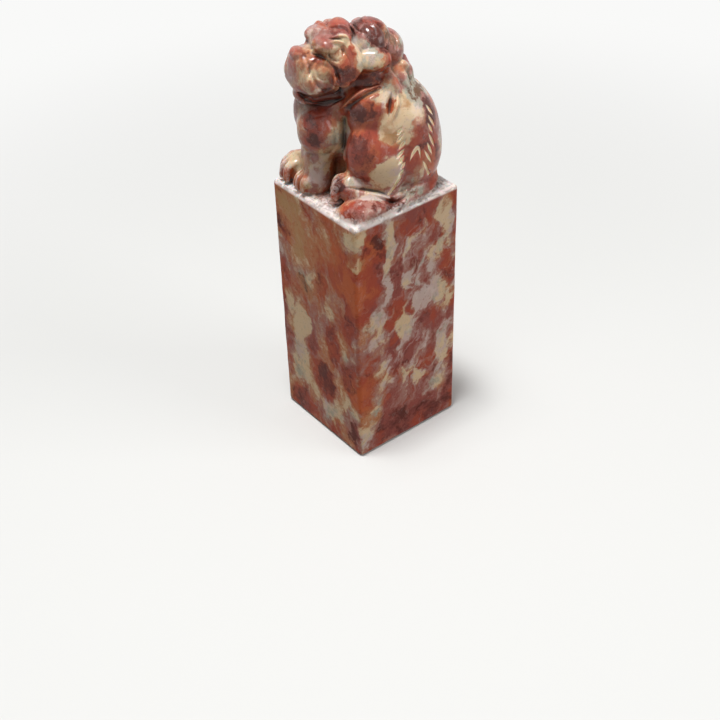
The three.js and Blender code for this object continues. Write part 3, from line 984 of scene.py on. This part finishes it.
RIGHT_FACE = (
    ((2, 32.5), (15, 5, 26), (7, -12, -4)),  # cooler and paler face
    ((-12, 51.5), (1.9, 3, 3.2), (-28, 4, -5)),  # cream triangle
    ((-10.5, 46), (2.4, 3, 1.4), (-26, 4, 0)),  # cream bar
    ((-9, 48), (2.8, 3, 3.4), (20, 20, 0)),  # orange round an olive heart
    ((-7.5, 49.5), (1.4, 2.5, 1.7), (12, 5, 32)),  # olive heart
    ((-10.5, 40.5), (3.6, 4, 6.4), (30, 20, -4)),  # bright orange red
    ((-4.5, 49.5), (1.6, 4, 6), (-24, 0, 0)),  # cream vein, top
    ((-5, 40.5), (1, 4, 7), (-22, 0, 0)),  # cream vein, middle
    ((-7.5, 29.5), (2.4, 4, 7), (-19, 0, 0)),  # cream vein, wide foot
    ((-2.5, 38), (1.4, 4, 7), (20, 0, 6)),  # red streak
    ((-1.5, 47.5), (2, 4, 3), (6, -10, 0)),  # red diagonal, foot
    ((1.5, 50), (2.2, 4, 2.8), (24, 0, 2)),  # red diagonal, middle
    ((5.5, 52), (2.2, 4, 2.6), (24, 0, 2)),  # red diagonal, top
    ((10.5, 35.5), (1.8, 4, 3.6), (20, 4, 4)),  # red by the edge
    ((-4, 23.5), (1.6, 4, 4), (14, -6, 4)),  # rose streak
    ((1, 41.5), (2.4, 4, 2.6), (14, -4, 6)),  # dark islands
    ((-2, 50.5), (1.6, 4, 2.2), (-8, -4, 0)),  # pale end of the diagonal
    ((9, 48.5), (1.8, 4, 4.6), (-26, 4, 0)),  # cream block
    ((12, 49.5), (1.6, 4, 5.5), (18, -2, 0)),  # pink edge
    ((3.5, 43.5), (3, 4, 3), (10, -6, 2)),  # mottled red
    ((-0.5, 39), (1.8, 4, 3.4), (-20, 0, 0)),  # cream flame
    ((4, 38), (1.5, 4, 2), (16, -2, 0)),  # red fleck
    ((8, 32.5), (2.2, 4, 2.2), (-17, 2, 0)),  # cream diagonal, top
    ((3.5, 32), (2.3, 4, 2.8), (-26, 0, -2)),  # cream diagonal, middle
    ((-1.5, 27.5), (1.9, 4, 3), (-26, 0, 0)),  # cream diagonal, foot
    ((6, 27), (2.6, 4, 3.4), (20, 2, -3)),  # pink red round
    ((11, 27), (1.6, 4, 2.4), (14, 10, 0)),  # orange red edge
    ((8.5, 18.5), (2, 4, 5), (-24, 4, 0)),  # cream diagonal, low
    ((-1.5, 20.5), (4, 4, 4.4), (4, -16, 2)),  # purple mottling
    ((12, 13.5), (1.4, 4, 3), (16, -10, 10)),  # dark edge
    ((2.5, 13), (1.3, 4, 2.8), (-20, 4, 0)),  # cream dash
    ((6, 9.5), (2.4, 4, 2.2), (-12, -12, 8)),  # grey green
    ((11, 6), (2.4, 4, 4.4), (20, -10, 14)),  # dark purple red, partly painted shade low down
    ((-6, 18), (3, 4, 3.6), (-16, 0, -8)),  # pink mottling
    ((-11, 14.5), (2, 3, 5), (5, 20, 0)),  # orange edge, low
    ((2, 4), (8, 4, 4), (20, -18, 14)),  # purple foot, partly painted shade low down
    ((-6, 5), (5, 4, 4), (12, -12, 12)),  # purple foot, near edge, partly painted shade low down
    ((-11.5, 4), (2.4, 2.4, 3.6), (-14, -8, -6)),  # pale tip
)
BEAST = (
    ((0, -10, 69), (1.8, 2, 1.8), (-20, 0, -30)),  # pale end of the flank
    ((-5.5, -6, 72.5), (4, 4, 3.6), (32, 14, 10)),  # flank red
    ((-6, -4.5, 71), (2, 2, 2.4), (16, -2, 0)),  # flank red, front
    ((-6.5, -7, 66), (3.4, 3.4, 6.4), (32, 8, 6)),  # thigh red
    ((-4.5, -9, 66), (2.4, 2.6, 2.6), (18, 2, 4)),  # thigh red, rear
    ((-2, -10, 65), (1.8, 2, 1.8), (18, 0, 6)),  # red by the strokes
    ((-6, -8, 60.5), (1.4, 1.6, 2), (20, -2, 6)),  # red drop
    ((1, -10.5, 70.5), (3.2, 3, 4.4), (-34, 2, -6)),  # cream flank
    ((-2, -9.5, 67.5), (2, 2, 1.8), (-28, 0, -6)),  # cream under the flank
    ((-3, -10.5, 61.5), (2.8, 2.8, 3.2), (-34, -3, -30)),  # cream loin
    ((-8, -6.5, 59), (2.6, 2.6, 1.4), (-20, -10, -4)),  # grey white instep
    ((3.5, -12, 66), (2.4, 2.4, 5), (24, 0, 5)),  # back red
    ((7, -12, 61), (2.4, 3, 7), (26, 6, 5)),  # rump red
    ((1.5, -12, 56), (3, 3, 2.4), (-16, -10, 34)),  # grey tail
    ((-2.5, -12, 55), (2.4, 2.4, 1.6), (16, -12, 46)),  # grey end of the tail
    ((-11.5, 8, 56.5), (1.6, 1.6, 1.4), (26, 24, -14)),  # orange toes
    ((6, -8, 74), (3.4, 3.4, 4.4), (-32, -24, 36)),  # grey green back
    ((7.5, -10, 70.5), (1.8, 2.6, 2.6), (34, 0, 22)),  # grey green back, low
    ((2, -7.5, 76), (1.8, 1.8, 3.2), (6, -6, -4)),  # pink lock
    ((2.5, -8.5, 73.5), (1.6, 1.6, 1.4), (-10, 16, -6)),  # cream end of the lock
    ((-2, -5.5, 81), (3, 2.6, 2.5), (-30, -3, 10)),  # grey cream ear
    ((0.5, -7, 80), (1.1, 1.4, 1.8), (14, 22, 4)),  # orange ear tip
    ((1, -5, 78), (1.4, 1.2, 0.9), (24, 14, 10)),  # red rim of the ear
    ((-12, -1, 77.5), (2.2, 2.2, 1.4), (10, 4, 6)),  # russet under the muzzle
    ((-5, -4, 81), (1.8, 1.8, 3), (16, 4, 10)),  # orange root of the ear
    ((0, -2, 85.5), (3.6, 3.6, 2.8), (20, 0, 28)),  # dark crest
    ((0.5, -4.5, 83.5), (2, 2.4, 2.4), (18, 0, 32)),  # dark crest, rear
    ((-2, -3, 83.5), (2.2, 2.2, 1.8), (-14, -14, 2)),  # grey crest spot
    ((4, -4.5, 82), (2.4, 3, 3), (-10, -2, 40)),  # cream back lobe
    ((-4.5, 0.5, 86), (2.6, 2.6, 2), (14, 6, 6)),  # red forelock
    ((-5, -1, 85.5), (2, 2, 1.4), (-2, -20, 2)),  # lilac forehead
    ((-7.5, 0.5, 85), (2.6, 2.4, 1.8), (6, -12, 4)),  # lilac brow
    ((-6, -2.5, 84), (1.5, 1.5, 1.1), (-26, 0, -12)),  # painted highlight on the eyelid
    ((-7.5, -2, 82.5), (2.2, 2.2, 1.9), (-12, 4, -8)),  # brown eye
    ((-6.5, -4, 78.5), (2.4, 2.4, 2), (36, 24, 26)),  # painted shade on the underside of the cheek
    ((-12, 0.5, 80.5), (3.6, 3.6, 3.6), (-6, 8, -8)),  # russet muzzle
    ((-9, -1.5, 78.5), (2, 2, 2.2), (-10, 10, -20)),  # pink curl
    ((-8, -2, 77.5), (1.3, 1.3, 1), (26, 8, 0)),  # red under the curl
    ((-11.5, 3, 82.5), (1.5, 1.6, 1.4), (10, 4, 20)),  # russet nose
    ((-9, 0.5, 82), (2.2, 1.6, 0.8), (14, 4, 2)),  # red crease
    ((-9.5, 0.5, 74), (4.4, 4, 1.8), (22, 4, 36)),  # painted shade in the mouth and under the muzzle
    ((-12, 2, 75.5), (1.6, 1.6, 1), (20, 6, 4)),  # red lip
    ((-11.5, 0.5, 68.5), (1.8, 1.8, 1.8), (26, 0, 14)),  # dark chest spot
    ((-10, -0.5, 69.5), (3.4, 3, 3), (10, -2, 8)),  # mixed chest
    ((-10, 4, 71), (2, 2, 1.6), (-4, -8, 4)),  # grey throat
    ((-10.5, 0.5, 61), (2.6, 2.6, 3), (-12, -14, -8)),  # cream leg
    ((-7.5, 0, 61), (1.6, 2, 3), (6, 4, 10)),  # brown leg
    ((-10.5, 7.5, 58.5), (3.6, 3.6, 3), (-12, -5, -42)),  # cream far paw
    ((-11, 1, 57.5), (2.6, 2.6, 2.2), (-2, -12, -36)),  # pink near paw
    ((-12.5, 3, 56.5), (1.4, 1.4, 1), (-8, 14, -2)),  # tan toes
    ((-10, -11, 56), (4.6, 4, 1.9), (-6, -12, 10)),  # pink ground
    ((-6, -12, 56.5), (1.6, 1.6, 1.2), (22, -6, 12)),  # dark red ground
    ((-11.5, -8, 55.5), (1.8, 1.6, 1.2), (20, 8, 2)),  # red ground
    ((-2, -4.5, 76.5), (3.2, 3.2, 2.4), (24, 6, 16)),  # painted shade in the hollow under the ear
    ((-10, -1, 66), (3.2, 3, 1.6), (14, 2, 12)),  # brown foot of the chest
    ((-5.5, -4.5, 73), (1.6, 1.6, 2.4), (10, 4, 26)),  # dark shoulder
    ((-2.5, -6, 75), (3.2, 2.6, 1.4), (-30, -8, 2)),  # grey ridge of the shoulder
    ((-0.5, -8, 72), (0.8, 0.8, 1.9), (40, 6, 16)),  # red tuft
    ((-10.5, 1, 81.5), (2.4, 2.4, 1.8), (12, 2, 24)),  # russet bridge of the nose
    ((-4.5, -9.5, 56.5), (3.4, 3, 1.1), (-20, -16, 0)),  # lilac folds over the mound
    ((-3, -1, 84), (1.6, 1.6, 1.4), (-12, -4, -4)),  # pale side of the brow
    ((-12.5, 1.5, 79.5), (1.6, 1.6, 3), (-4, 10, 6)),  # tan side of the muzzle
    ((-10, -4, 59), (1.6, 1.6, 1.8), (26, -4, 40)),  # red hind toes
    ((-8, -1.5, 81), (2.4, 2.4, 2.2), (6, 6, 8)),  # brown cheek bone
    ((-5, -6, 69), (2.2, 2.2, 1.8), (10, 10, -4)),  # bright red top of the thigh
    ((-11, 0, 66.5), (1.6, 1.6, 1.2), (0, -14, 12)),  # grey fold of the chest
)
PATCHES = (
    [((-COLUMN_WIDTH / 2, y, z), half, change) for (y, z), half, change in LEFT_FACE]
    + [((x, -COLUMN_WIDTH / 2, z), half, change) for (x, z), half, change in RIGHT_FACE]
    + list(BEAST)
)
# where the stone is broken into crumbs, and where its mottling is soft: middle, half-sizes and share
BROKEN = (
    ((4, -12.5, 31), (12, 4, 20), 0.2),
    ((12.5, 4, 22), (4, 9, 16), 0.22),
)
SOFT = (
    ((-9, -2, 82), (8, 8, 7), 0.62),
    ((-12.5, 0, 34), (3, 12, 26), 0.42),
)
EVEN = (0.43, 0.48, 0.45)


class Soapstone(Nodes):
    """The mottled stone, coloured through and through by place, in millimetres from the bottom's middle."""

    def __init__(self):
        super().__init__(bpy.data.materials.new("mottled_soapstone"))
        self.place = self.add("ShaderNodeTexCoord", out="Object") * (1 / MM)
        swaying = self.place + self.sway(self.place, 0.22, 3.0) * 5.0
        self.bent = swaying + self.sway(self.place, 0.9, 4.0, 0.65) * 1.8
        self.streaked = self.drawn_out(self.bent, 0.62)
        self.drift = self.drawn_out(swaying, 0.6)
        self.grain = self.noise(self.place, 1.5, 5.0, 0.72) - 0.5
        self.crumbs = self.noise(self.streaked, 0.8, 4.0, 0.6) - 0.5
        self.x, self.y, self.z = self.parts(self.place)
        self.height = self.z - COLUMN_TOP
        self.out = self.most(abs(self.x), abs(self.y))

    def mottling(self):
        """How red, how warm and how dark the stone is."""
        bent = self.bent
        amounts = self.vector(
            self.noise(self.streaked, 0.22),
            self.noise(bent + (37.0, 11.0, 5.0), 0.16),
            self.noise(bent + (5.0, 53.0, 17.0), 0.24, 5.0, 0.6))
        for middle, half, share in SOFT:
            amounts = amounts - (amounts - EVEN) * self.near(bent, middle, half, 0.6, share)
        for middle, half, change in PATCHES:
            change = tuple(hundredths / 100 for hundredths in change)
            amounts = amounts + self.scaled(change, self.near(bent, middle, half, 0.5))
        return self.parts(amounts)

    def seams(self):
        """The pale seams between the crumbs of broken stone."""
        place = self.drift + self.sway(self.place, 0.6, 3.0, 0.6) * 0.9
        wide = self.ramp(self.edges(place, 0.26), 0.22, 0.0)
        fine = self.ramp(self.edges(place, 0.6), 0.1, 0.0, 0.0, 0.4)
        return self.most(wide, fine)

    def broken(self):
        """How far the stone is broken."""
        broken = 0.03
        for middle, half, share in BROKEN:
            broken = self.most(broken, self.near(self.bent, middle, half, 0.7, share))
        return broken

    def body_colour(self, broken):
        red, warm, dark = self.mottling()
        red = red + self.grain * 0.15 - self.seams() * broken + self.crumbs * 0.34
        warm = warm + self.crumbs * 0.35
        dark = dark + self.grain * 0.3 + (self.noise(self.bent, 0.5, 5.0, 0.7) - 0.5) * 0.5
        reds = self.layered(PURPLE, (warm, 0.36, 0.5, RED), (warm, 0.54, 0.72, ORANGE),
                            (dark, 0.5, 0.78, DEEP))
        creams = self.layered(LILAC, (warm, 0.34, 0.48, CREAM), (dark, 0.5, 0.68, GREY_GREEN),
                              (warm, 0.54, 0.74, TAN), (dark, 0.74, 0.9, OLIVE))
        roses = self.layered(MAUVE, (warm, 0.4, 0.6, RUSSET))
        return self.layered(creams, (red, 0.33, 0.46, roses), (red, 0.44, 0.6, reds))

    def veined(self, stone, broken):
        """A lilac haze, pale veins where the stone is broken, and dark specks."""
        haze = self.noise(self.streaked, 0.55, 6.0, 0.72)
        stone = self.mix(self.ramp(haze, 0.54, 0.74, 0.0, 0.42), stone, LILAC)
        vein = abs(self.noise(self.drift, 0.2, 3.0, 0.5) - 0.5)
        torn = self.ramp(self.noise(self.place, 0.3, 3.0), 0.46, 0.6) * self.ramp(broken, 0.05, 0.2)
        stone = self.mix(self.ramp(vein, 0.03, 0.0, 0.0, 0.25) * torn, stone, PALE)
        specks = self.noise(self.bent, 1.9, 4.0, 0.65)
        return self.mix(self.ramp(specks, 0.58, 0.7, 0.0, 0.55), stone, DEEP)

    def chalk(self):
        """Where the cut ground is chalky, and how pale it is there: palest along its scratched rim, partly a
        painted highlight.
        """
        top = self.ramp(self.height, -1.0, -0.5) * self.ramp(self.height - self.grain * 2.0, 1.2, 0.5)
        # the rim's paleness is partly chalk and partly a painted highlight on the rounded edge
        rim = self.ramp(self.out + self.crumbs * 5.0, 10.2, 11.8, 0.0, 0.86)
        cover = self.ramp(self.noise(self.bent, 0.6, 5.0, 0.7), 0.4, 0.6, 0.35, 0.95)
        cover = self.most(cover, self.ramp(self.height, 0.5, 0.2))
        across = (self.out + self.crumbs * 0.5) * 2.0
        scratches = self.noise(self.vector(across, (self.x + self.y) * 0.35), 1.0, 2.0, 0.5)
        bright = self.ramp(self.noise(self.place, 1.1, 3.0, 0.6), 0.4, 0.62)
        bright = self.most(bright, rim * self.ramp(scratches, 0.36, 0.56, 0.35, 1.0))
        return top * self.most(cover, rim), self.mix(bright, ASH, PALE)

    def face_grooves(self):
        """Where the seal face is cut, and not polished."""
        low = self.ramp(self.z, 0.95, 0.8) * self.ramp(self.out, 12.2, 11.9)
        return low * self.ramp(self.z, 0.02, 0.3)

    def shaded_and_worn(self, stone):
        """Painted shade in the hollows and nooks, ridges paler with wear and a painted highlight, chalky low
        down, and the strokes.
        """
        hollow, nook = self.mark("hollow"), self.mark("nook")
        # painted shade in the hollows
        stone = self.mix(self.ramp(hollow, -0.1, -0.45, 0.0, 0.72), stone, PAINTED_SHADE)
        # painted shade in the nooks, above the ground
        nook_shade = self.ramp(nook, -0.03, -0.16, 0.0, 0.45) * self.ramp(self.height, 0.3, 1.3)
        stone = self.mix(nook_shade, stone, PAINTED_SHADE)
        # paler ridges, partly wear and partly a painted highlight
        stone = self.mix(self.ramp(nook, 0.06, 0.2, 0.0, 0.15), stone, CREAM)
        worn = self.ramp(nook, 0.02, 0.12) * self.ramp(self.height, 7.5, 3.5, 0.0, 0.6)
        worn = worn * self.ramp(self.noise(self.bent, 1.1, 4.0, 0.7), 0.42, 0.58)
        stone = self.mix(worn * self.ramp(self.height, -0.2, 0.4), stone, PALE)
        # the strokes, pale as fresh cuts and with a painted highlight on their lit side
        return self.mix(self.ramp(self.mark("fresh_and_lit_marks"), 0.12, 0.45), stone, FRESH_CUT_AND_HIGHLIGHT)

    def roughness(self, chalky):
        """Dull on the ground, and a little less polished on the feet than higher up."""
        polish = self.ramp(self.noise(self.place, 0.8, 4.0), 0.3, 0.7, 0.28, 0.42)
        feet = self.ramp(self.height, 4.5, 2.5, 0.0, 0.1)
        toes = self.ramp(self.height, 3.4, 2.0, 0.0, 0.14)
        return polish + chalky * 0.3 + feet + toes

    def finished(self):
        broken = self.broken()
        stone = self.veined(self.body_colour(broken), broken)
        chalky, chalk_colour = self.chalk()
        stone = self.mix(chalky, stone, chalk_colour)
        stone = self.mix(self.face_grooves() * 0.45, stone, PALE)
        stone = self.shaded_and_worn(stone)
        grain = self.noise(self.place, 3.5, 5.0, 0.65)
        bump = self.add("ShaderNodeBump", {"Strength": 0.1, "Distance": 0.00008, "Height": grain})
        shader = self.add("ShaderNodeBsdfPrincipled", {
            "Base Color": stone, "Roughness": self.roughness(chalky), "Normal": bump, "IOR": 1.56,
            "Specular IOR Level": 0.12, "Coat Weight": self.ramp(self.height, 1.8, 4.4, 0.02, 0.46),
            "Coat Roughness": 0.07, "Subsurface Weight": 0.7, "Subsurface Radius": (1.0, 0.45, 0.3),
            "Subsurface Scale": 0.0012})
        self.node("ShaderNodeOutputMaterial", {"Surface": shader})
        return self.owner


def give(obj, material):
    obj.data.materials.clear()
    obj.data.materials.append(material)


stone = Soapstone().finished()
beast = sculpted_beast()
give(beast, stone)
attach(beast, "root")
beast_nodes = [name for name in frame["nodes"] if name not in ("seal_column", "seal_face")]
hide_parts(*beast_nodes)

column = ground_column()
give(column, stone)
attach(column, "root")
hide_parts("seal_column")
give(frame["nodes"]["seal_face"], stone)


def stage_material(name, shown, lit, far):
    """A matt surface that is seen in one colour, lights the object in another, and is even far off."""
    n = Nodes(bpy.data.materials.new(name))
    near = n.add("ShaderNodeBsdfDiffuse", {"Color": colour(*shown)})
    even = n.add("ShaderNodeEmission", {"Color": colour(*far)})
    away = n.length(n.add("ShaderNodeTexCoord", out="Object"))
    seen = n.add("ShaderNodeMixShader", {0: n.ramp(away, 0.07, 0.22), 1: near, 2: even})
    felt = n.add("ShaderNodeBsdfDiffuse", {"Color": colour(*lit)})
    both = n.add("ShaderNodeMixShader", {0: n.seen_rays(), 1: felt, 2: seen})
    n.node("ShaderNodeOutputMaterial", {"Surface": both})
    return n.owner


def studio_world(lit, shown):
    """A white surrounding that lights the object at one strength and is seen at another."""
    n = Nodes(bpy.data.worlds.new("studio"))
    strength = n.ramp(n.seen_rays(), 0.0, 1.0, lit, shown)
    sky = n.add("ShaderNodeBackground", {"Color": (1, 1, 1, 1), "Strength": strength})
    n.node("ShaderNodeOutputWorld", {"Surface": sky})
    return n.owner


def area_light(name, at, aim, size, power, mirrored=True):
    """A soft lamp; one that isn't mirrored lights the stone but leaves no highlight on its polish."""
    lamp = bpy.data.lights.new(name, "AREA")
    lamp.shape, lamp.energy = "RECTANGLE", power
    lamp.size, lamp.size_y = size
    obj = bpy.data.objects.new(name, lamp)
    obj.location = at
    obj.rotation_euler = (Vector(aim) - Vector(at)).to_track_quat("-Z", "Y").to_euler()
    obj.visible_glossy = mirrored
    bpy.context.scene.collection.objects.link(obj)


def place_camera():
    lens = bpy.data.cameras.new("camera")
    lens.sensor_width, lens.lens = SENSOR_WIDTH, LENS
    lens.clip_start, lens.clip_end = 0.01, 10
    camera = bpy.data.objects.new("camera", lens)
    camera.matrix_world = Matrix.Translation(CAMERA_AT) @ Matrix(camera_axes().tolist()).to_4x4()
    bpy.context.scene.collection.objects.link(camera)
    bpy.context.scene.camera = camera


bpy.ops.mesh.primitive_plane_add(size=3, location=(0, 0, -0.00002))
floor = bpy.context.object
floor.name = "floor"
give(floor, stage_material("floor", shown=(206, 206, 204), lit=(134, 122, 107), far=(249, 249, 248)))

bpy.context.scene.world = studio_world(lit=0.26, shown=0.9)
area_light("key", (-0.08, 0.02, 0.57), (0, 0, 0.05), (0.2, 0.18), 1.2, mirrored=False)
area_light("glint", (-0.07, -0.01, 0.57), (0, 0, 0.05), (0.13, 0.06), 2.4)
area_light("fill", (0.28, -0.42, 0.20), (0, 0, 0.04), (0.3, 0.3), 1.25)
area_light("side", (-0.46, -0.12, 0.22), (0, 0, 0.06), (0.3, 0.3), 0.28)
place_camera()
bpy.context.scene.view_settings.view_transform = "Standard"
